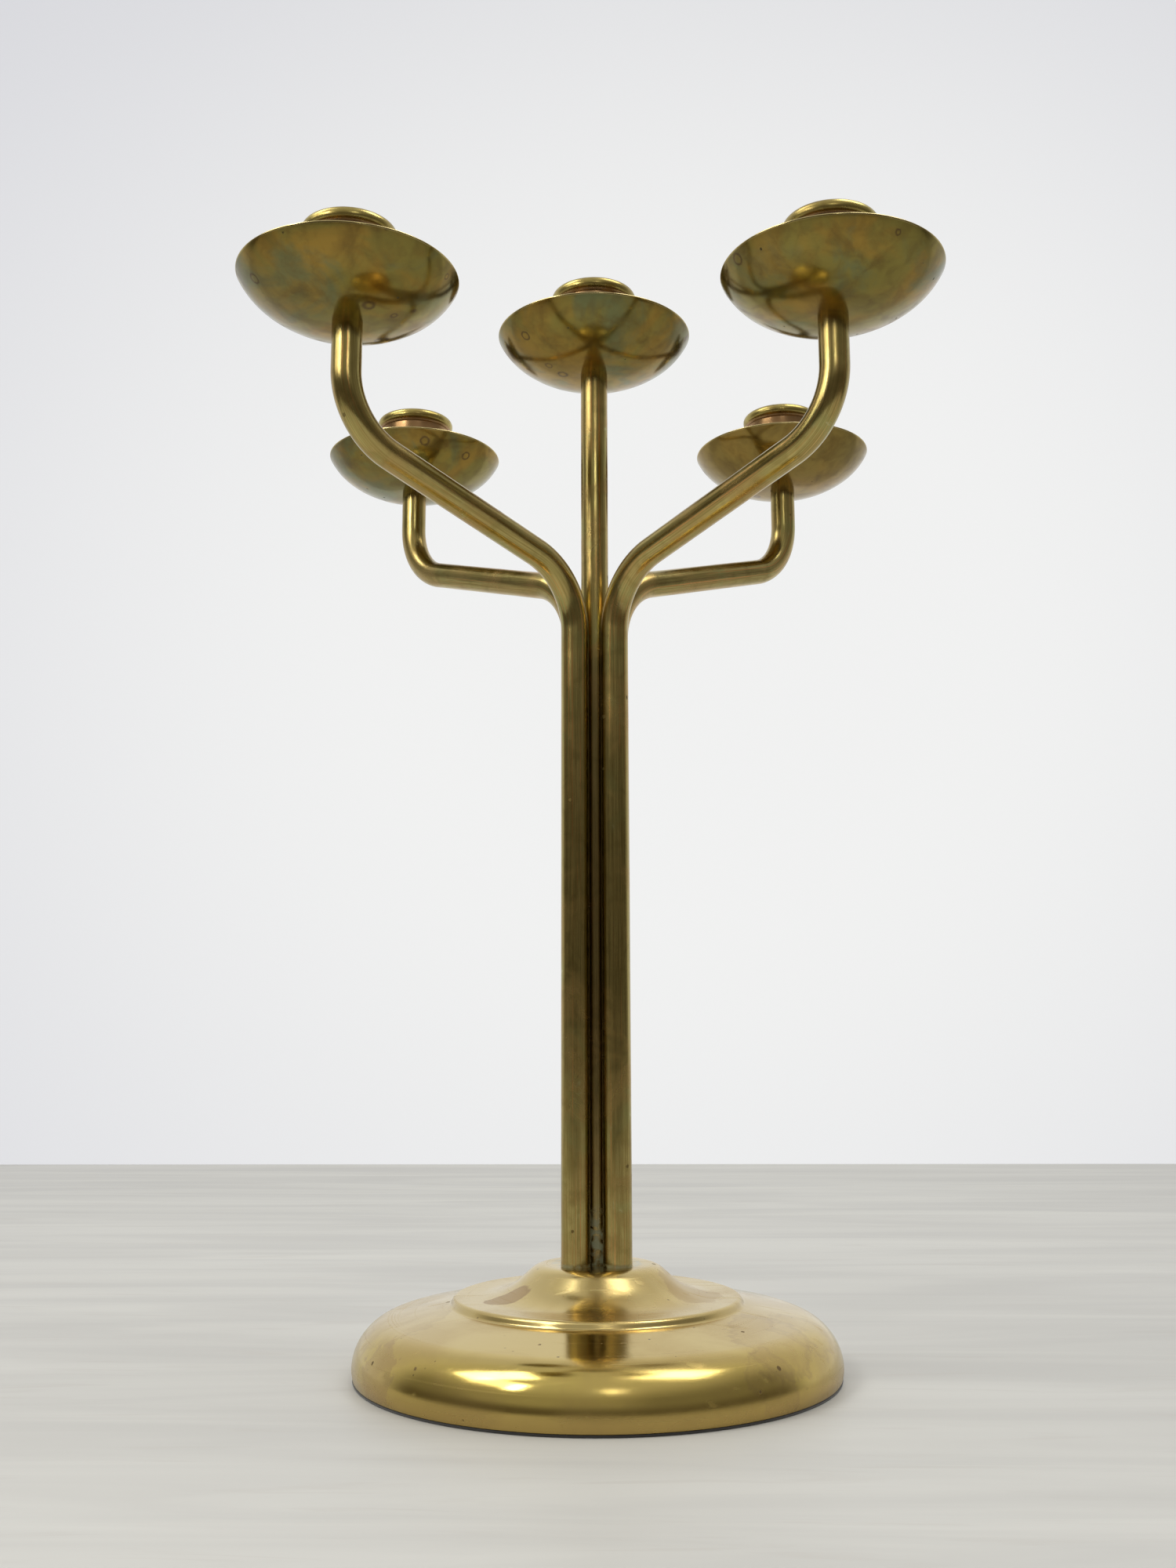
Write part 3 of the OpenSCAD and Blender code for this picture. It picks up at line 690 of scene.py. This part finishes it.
# ---------------------------------------------------------------------------------------------
# Plugs and solder. Turned brass plugs close the tube ends and take the stud and the cup screws;
# they are inside the tubes. Soft solder joins the arms to the centre tube along the grooves.
# ---------------------------------------------------------------------------------------------
plug_brass, tree, shader, where = start_material("turned_brass", Metallic=1.0)
turning = noise_on(tree, where, 1800.0, 2.0)
clouds = clouds_on(tree, where, 120.0, 0.4, 0.7)
colour = blend_colour(tree, clouds, (0.70, 0.54, 0.22, 1), (0.48, 0.33, 0.12, 1))
set_look(tree, shader, colour, build_up(tree, 0.25, (turning, 0.2)))
for name in [n for n in node if "plug" in n] + ["cup_washers"]:
    finish_node(name, plug_brass)

soft_solder, tree, shader, where = start_material("soft_solder", Metallic=0.9)
dull = clouds_on(tree, where, 140.0, 0.38, 0.62)
colour = blend_colour(tree, dull, (0.40, 0.38, 0.28, 1), (0.07, 0.075, 0.05, 1))
set_look(tree, shader, colour, build_up(tree, 0.35, (dull, 0.35)))
finish_node("stem_solder", soft_solder)


# ---------------------------------------------------------------------------------------------
# The five drip pans. Each is a shallow bowl of 92 mm spun from 1.1 mm brass, with a small flat
# seat on its tube, held by the screw of its cup. Their undersides are mirror smooth but clouded
# with amber, olive and blue-green tarnish and rings where drops dried, with a painted highlight
# along the rim.
# ---------------------------------------------------------------------------------------------
pan_r = 0.046
pan_wall = 0.0011
pan_depth = 0.0206
seat_r = 0.0075
seat_hole_r = 0.00275
floor_arc_r = 0.049
side_arc_r = 0.0314
joint_out, joint_up = 0.6, 0.8
bright_from, bright_to = 0.0495, 0.0503
joint_turn = 270 + degrees(asin(joint_out))
side_x = seat_r + (floor_arc_r - side_arc_r) * joint_out
side_z = floor_arc_r - (floor_arc_r - side_arc_r) * joint_up
rim_turn = 360 + degrees(atan2(pan_depth - side_z, pan_r - side_x))
pan_line = ([(seat_hole_r, 0)] + straight((seat_hole_r, 0), (seat_r, 0), 5)
            + arc(seat_r, floor_arc_r, floor_arc_r, 270, joint_turn, 30)
            + arc(side_x, side_z, side_arc_r, joint_turn, rim_turn, 22)[1:])


def foot_of(name):
    """The middle of the foot of a node."""
    lo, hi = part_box(name)
    return Vector(((lo.x + hi.x) / 2, (lo.y + hi.y) / 2, lo.z))


def copy_piece(piece, name, shift):
    """A twin with its own mesh, moved by a shift."""
    take(piece)
    bpy.ops.object.duplicate()
    twin = bpy.context.object
    twin.name = twin.data.name = name
    bpy.ops.transform.translate(value=tuple(shift))
    bpy.ops.object.transform_apply(location=True, rotation=True, scale=True)
    return twin


first = foot_of("pan_centre")
pans = {"centre": spin_sheet("drip_pan_centre", pan_line, first, 128)}
give_wall(pans["centre"], pan_wall, 0.0004)
smooth(pans["centre"])
mark_rounds(pans["centre"], first, pan_line)
for name in arm_turns:
    pans[name] = copy_piece(pans["centre"], "drip_pan_" + name, foot_of("pan_" + name) - first)


def pan_finish(label, warm):
    """Tarnished pan brass; warm is 0 for the olive pans and 1 for the amber one."""
    material, tree, shader, where = start_material(label, Metallic=1.0)
    olive = (0.245, 0.200, 0.052, 1)
    amber = (0.32, 0.205, 0.045, 1)
    warm_amber = (0.30, 0.195, 0.056, 1)
    teal = (0.145, 0.170, 0.085, 1)
    brown = (0.130, 0.082, 0.028, 1)
    ring_brown = (0.10, 0.065, 0.03, 1)
    speck_black = (0.06, 0.05, 0.03, 1)
    painted_rim_highlight = (0.62, 0.50, 0.22, 1)
    rounds = add(tree, "ShaderNodeAttribute", attribute_name="rounds").outputs["Vector"]
    browns = clouds_on(tree, where, 61.0, 0.48, 0.72)
    colour = blend_colour(tree, clouds_on(tree, where, 34.0, 0.42, 0.62), olive, amber)
    if warm:
        colour = blend_colour(tree, 0.65, colour, warm_amber)
    colour = tint(tree, colour, clouds_on(tree, where, 27.0, 0.50, 0.66), 0.75 - 0.6 * warm, teal)
    colour = tint(tree, colour, browns, 0.5, brown)
    drops, rings = spots_on(tree, where, 62.0, 0.25, 0.75)
    colour = tint(tree, colour, drops, 0.25, amber)
    colour = tint(tree, colour, rings, 0.85, ring_brown)
    colour = tint(tree, colour, clouds_on(tree, where, 150.0, 0.40, 0.70), 0.35, brown)
    specks, _ = spots_on(tree, where, 150.0, 0.13, 0.5)
    colour = tint(tree, colour, specks, 0.8, speck_black)
    along = add(tree, "ShaderNodeSeparateXYZ", {0: rounds}).outputs[2]
    # Painted highlight: a thin bright line along the rim.
    rim = step_mask(tree, along, bright_from, bright_to)
    colour = blend_colour(tree, rim, colour, painted_rim_highlight)
    set_look(tree, shader, colour, build_up(tree, 0.15, (browns, 0.12), (specks, 0.4)))
    wheel, _ = lines_on(tree, rounds, (3.0, 3.0, 4200.0))
    give_bump(tree, shader, wheel, 0.04, 0.0001)
    return material


pan_brass = pan_finish("tarnished_pan_brass", 0)
warm_pan_brass = pan_finish("amber_pan_brass", 1)
for name, pan in pans.items():
    dress(pan, warm_pan_brass if name == "back_right" else pan_brass)
    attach(pan, "root")
    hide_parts("pan_" + name)


# ---------------------------------------------------------------------------------------------
# The five candle cups. Each is turned from solid brass with a rounded foot, a thick rounded lip, a
# cone that leads a 22 mm candle into its socket, and a well for the screw. Hands keep the lips
# bright; old wax and polish turned reddish brown in the neck under the lip.
# ---------------------------------------------------------------------------------------------
foot_r = 0.0069
foot_z = 0.0025
cup_curve_r = 0.009
cup_r = 0.0184
lip_ring_r = 0.0171
lip_r = 0.0031
lip_z = 0.0386
mouth_r = lip_ring_r - lip_r
socket_r = 0.0112
socket_top_z = lip_z - (mouth_r - socket_r)
socket_floor_z = 0.0138
well_r = 0.0055
well_z = 0.0093
neck_r = 0.0009
foot_edge = 0.0003
hollow_r = 0.0006
hollow_x = cup_r + 0.0005
hollow_z = lip_z - 0.0040

cup_body = (
    [(seat_hole_r, 0.0), (foot_r - foot_edge, 0.0), (foot_r, foot_edge), (foot_r, foot_z - neck_r)]
    + arc(foot_r + neck_r, foot_z - neck_r, neck_r, 180, 90, 6)[1:]
    + arc(cup_r - cup_curve_r, foot_z + cup_curve_r, cup_curve_r, 270, 360, 18)
    + straight((cup_r, foot_z + cup_curve_r), (cup_r, hollow_z - 0.0002), 10)
    + arc(hollow_x, hollow_z, hollow_r, 180, 110, 5))
cup_line = (
    cup_body + arc(lip_ring_r, lip_z, lip_r, -52, 180, 34)
    + straight((mouth_r, lip_z), (socket_r, socket_top_z), 5)
    + [(socket_r, socket_top_z)]
    + straight((socket_r, socket_top_z), (socket_r, socket_floor_z), 8)
    + [(socket_r, socket_floor_z), (well_r, socket_floor_z), (well_r, well_z),
       (seat_hole_r, well_z), (seat_hole_r, 0.0)])
first_cup = foot_of("cup_centre")
cups = {"centre": spin_sheet("candle_cup_centre", cup_line, first_cup, 112)}
smooth(cups["centre"], 42)
mark_rounds(cups["centre"], first_cup, cup_line)
for name in arm_turns:
    shift = foot_of("cup_" + name) - first_cup
    cups[name] = copy_piece(cups["centre"], "candle_cup_" + name, shift)

cup_brass, tree, shader, where = start_material("turned_cup_brass", Metallic=1.0)
cup_gold = (0.49, 0.395, 0.125, 1)
cup_olive = (0.35, 0.265, 0.075, 1)
cup_brown = (0.27, 0.17, 0.06, 1)
neck_red = (0.36, 0.20, 0.10, 1)
rounds = add(tree, "ShaderNodeAttribute", attribute_name="rounds").outputs["Vector"]
clouds = clouds_on(tree, where, 70.0, 0.45, 0.7)
colour = blend_colour(tree, clouds, cup_gold, cup_olive)
colour = tint(tree, colour, clouds_on(tree, where, 130.0, 0.42, 0.66), 0.4, cup_brown)
along = add(tree, "ShaderNodeSeparateXYZ", {0: rounds}).outputs[2]
lip_start = sum(sqrt((a[0] - b[0]) ** 2 + (a[1] - b[1]) ** 2)
                for a, b in zip(cup_body, cup_body[1:]))
neck = times(tree, step_mask(tree, along, lip_start - 0.0090, lip_start - 0.0030),
             step_mask(tree, along, lip_start + 0.0022, lip_start + 0.0004))
colour = tint(tree, colour, neck, 0.85, neck_red)
set_look(tree, shader, colour, build_up(tree, 0.27, (clouds, 0.10)))
wheel, _ = lines_on(tree, rounds, (3.0, 3.0, 3600.0))
give_bump(tree, shader, wheel, 0.12, 0.0001)
for name, cup in cups.items():
    dress(cup, cup_brass)
    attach(cup, "root")
    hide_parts("cup_" + name)


# ---------------------------------------------------------------------------------------------
# The setting: a pale washed floor, a white wall behind, a plain room for the brass to mirror, soft
# lights overhead and in front, and the camera low down before the base, tilted up.
# ---------------------------------------------------------------------------------------------
floor_width = 5
floor_front = 1.0
wall_y = 1.0
wall_width, wall_height = 4.4, 2.8
bpy.ops.object.select_all(action="DESELECT")
bpy.ops.mesh.primitive_plane_add(size=1, location=(0, (wall_y - floor_front) / 2, 0))
floor = bpy.context.object
floor.name = "floor"
floor.scale = (floor_width, wall_y + floor_front, 1)
floor_paint, tree, shader, where = start_material("pale_floor", Roughness=0.5)
grey_wash = (0.585, 0.575, 0.54, 1)
pale_wash = (0.68, 0.67, 0.625, 1)
worn_wash = (0.56, 0.535, 0.49, 1)
brushed = add(tree, "ShaderNodeVectorMath", {0: where, 1: (5, 16, 1)}, operation="MULTIPLY")
wash = clouds_on(tree, brushed.outputs[0], 2.6, 0.30, 0.72)
colour = blend_colour(tree, wash, grey_wash, pale_wash)
colour = tint(tree, colour, clouds_on(tree, brushed.outputs[0], 11.0, 0.56, 0.70), 0.35, worn_wash)
tree.links.new(colour, shader.inputs["Base Color"])
dress(floor, floor_paint)

bpy.ops.mesh.primitive_plane_add(
    size=1, location=(0, wall_y, wall_height / 2), rotation=(pi / 2, 0, 0))
backdrop = bpy.context.object
backdrop.name = "backdrop"
backdrop.scale = (wall_width, wall_height, 1)
backdrop_paint, tree, shader, where = start_material("white_wall", Roughness=0.9)
shader.inputs["Base Color"].default_value = (0.12, 0.12, 0.12, 1)
wall_white = (0.815, 0.82, 0.82, 1)
wall_shade = (0.655, 0.66, 0.695, 1)
# The wall glows by its own emission: a painted glow, brightest low in the middle and fading to a
# painted shade towards its edges.
spread = add(tree, "ShaderNodeVectorMath", {0: where, 1: (wall_width, wall_height, 0)},
             operation="MULTIPLY")
spread = add(tree, "ShaderNodeVectorMath", {0: spread.outputs[0], 1: (0.1, -0.8, 0)},
             operation="DISTANCE")
fade = step_mask(tree, spread.outputs["Value"], 0.30, 1.30)
tree.links.new(blend_colour(tree, fade, wall_white, wall_shade), shader.inputs["Emission Color"])
shader.inputs["Emission Strength"].default_value = 0.98
dress(backdrop, backdrop_paint)

# The room in the brass: dark low down in front, lighter higher up, bright at the back and above.
room_low = (0.12, 0.105, 0.085, 1)
room_front = (0.235, 0.225, 0.20, 1)
room_lit = (0.38, 0.37, 0.33, 1)
room_back = (0.80, 0.81, 0.81, 1)
room_ceiling = (0.62, 0.62, 0.60, 1)
room_seen = (0.86, 0.87, 0.88, 1)
world = bpy.data.worlds.new("room")
bpy.context.scene.world = world
world.use_nodes = True
tree = world.node_tree
sky = tree.nodes["Background"]
towards = add(tree, "ShaderNodeSeparateXYZ",
              {0: tree.nodes.new("ShaderNodeTexCoord").outputs["Generated"]})
to_right, to_back, upwards = towards.outputs
room = blend_colour(tree, step_mask(tree, upwards, 0.10, 0.34), room_low, room_front)
lit = times(tree, step_mask(tree, upwards, 0.20, 0.38), step_mask(tree, to_right, -0.95, -0.75))
lit = times(tree, lit, step_mask(tree, to_right, 0.45, 0.12))
room = blend_colour(tree, lit, room, room_lit)
room = blend_colour(tree, step_mask(tree, to_back, 0.02, 0.50), room, room_back)
room = blend_colour(tree, step_mask(tree, upwards, 0.50, 0.92), room, room_ceiling)
seen = tree.nodes.new("ShaderNodeLightPath").outputs["Is Camera Ray"]
tree.links.new(blend_colour(tree, seen, room, room_seen), sky.inputs["Color"])


def soft_light(name, place, aim, size, watts, colour=(1, 1, 1)):
    """A soft box at a place, turned towards a point, left out of the camera's own view."""
    back = (Vector(place) - Vector(aim)).normalized()
    bpy.ops.object.light_add(type="AREA", location=place)
    lamp = bpy.context.object
    lamp.name = name
    lamp.rotation_euler = back.to_track_quat("Z", "Y").to_euler()
    lamp.visible_camera = False
    lamp.data.shape = "RECTANGLE"
    lamp.data.size, lamp.data.size_y = size
    lamp.data.energy = watts
    lamp.data.color = colour
    return lamp


stem_low = (0, 0, 0.15)
soft_light("ceiling_left", (-1.00, -0.20, 1.60), (-1.00, -0.20, 0), (0.95, 0.50), 8)
soft_light("ceiling_right", (0.66, -0.12, 1.60), (0.66, -0.12, 0), (0.75, 0.50), 6.5)
soft_light("reflector", (-0.49, -0.34, 0.67), (0, 0, 0.38), (0.34, 0.20), 0.55, (1, 0.97, 0.9))
soft_light("lamp_left", (-0.41, -0.45, 0.62), stem_low, (0.07, 0.16), 0.42)
soft_light("lamp_front", (0.10, -0.60, 0.64), stem_low, (0.05, 0.12), 0.12)

camera_place = (0.01252, -0.67613, 0.14666)
camera_turn = 0.02355
camera_tilt = radians(90 + 9.282)
camera_roll = -0.0027
camera_data = bpy.data.cameras.new("camera")
camera_data.lens = 34.294
camera_data.sensor_width = 36
camera = bpy.data.objects.new("camera", camera_data)
bpy.context.scene.collection.objects.link(camera)
camera.matrix_world = (
    Matrix.Translation(camera_place)
    @ Matrix.Rotation(camera_turn, 4, "Z")
    @ Matrix.Rotation(camera_tilt, 4, "X")
    @ Matrix.Rotation(camera_roll, 4, "Z"))
bpy.context.scene.camera = camera
bpy.context.scene.view_settings.view_transform = "Standard"
